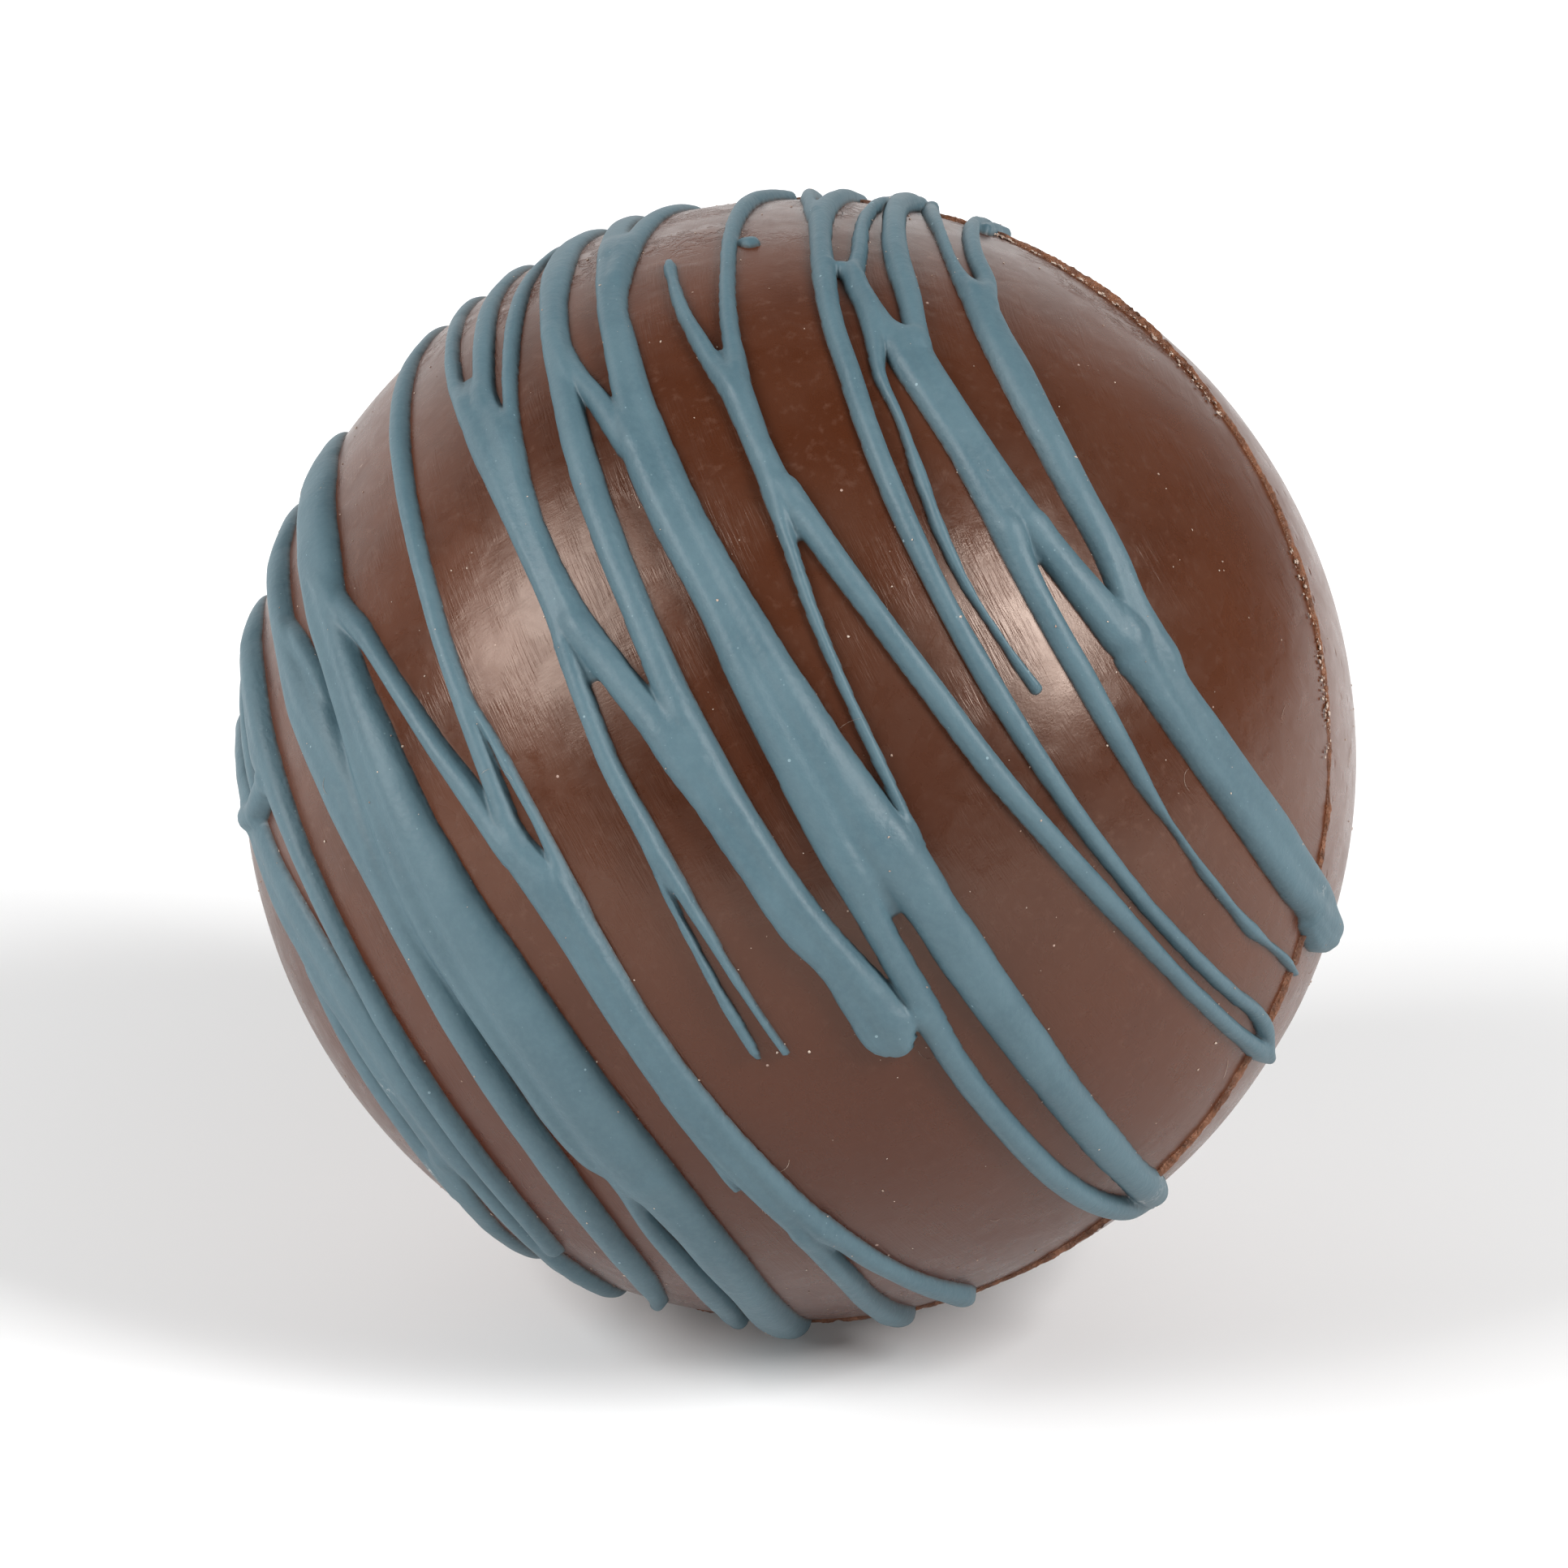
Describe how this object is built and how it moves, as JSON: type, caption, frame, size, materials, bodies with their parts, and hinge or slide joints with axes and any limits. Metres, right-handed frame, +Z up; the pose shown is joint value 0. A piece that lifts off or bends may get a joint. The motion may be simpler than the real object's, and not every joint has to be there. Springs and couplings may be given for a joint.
{
  "type": "hot chocolate sphere",
  "caption": "Milk chocolate ball of two half shells melted together, its front half covered with thick blue-grey drizzle.",
  "frame": {"origin": "centre of the small flat spot that the ball rests on", "axes": "+Z up; -Y is the front, where the drizzle shows; +X is right as seen from the front"},
  "size_m": [0.064, 0.063, 0.0641],
  "materials": {
    "milk_chocolate": "satin milk chocolate, smooth from the mould, with fine scratches and a dusty bloom",
    "drizzle": "satin blue-grey coating, set in rounded strands"
  },
  "bodies": {
    "root": {"chocolate_sphere": "milk_chocolate"}
  },
  "joints": []
}
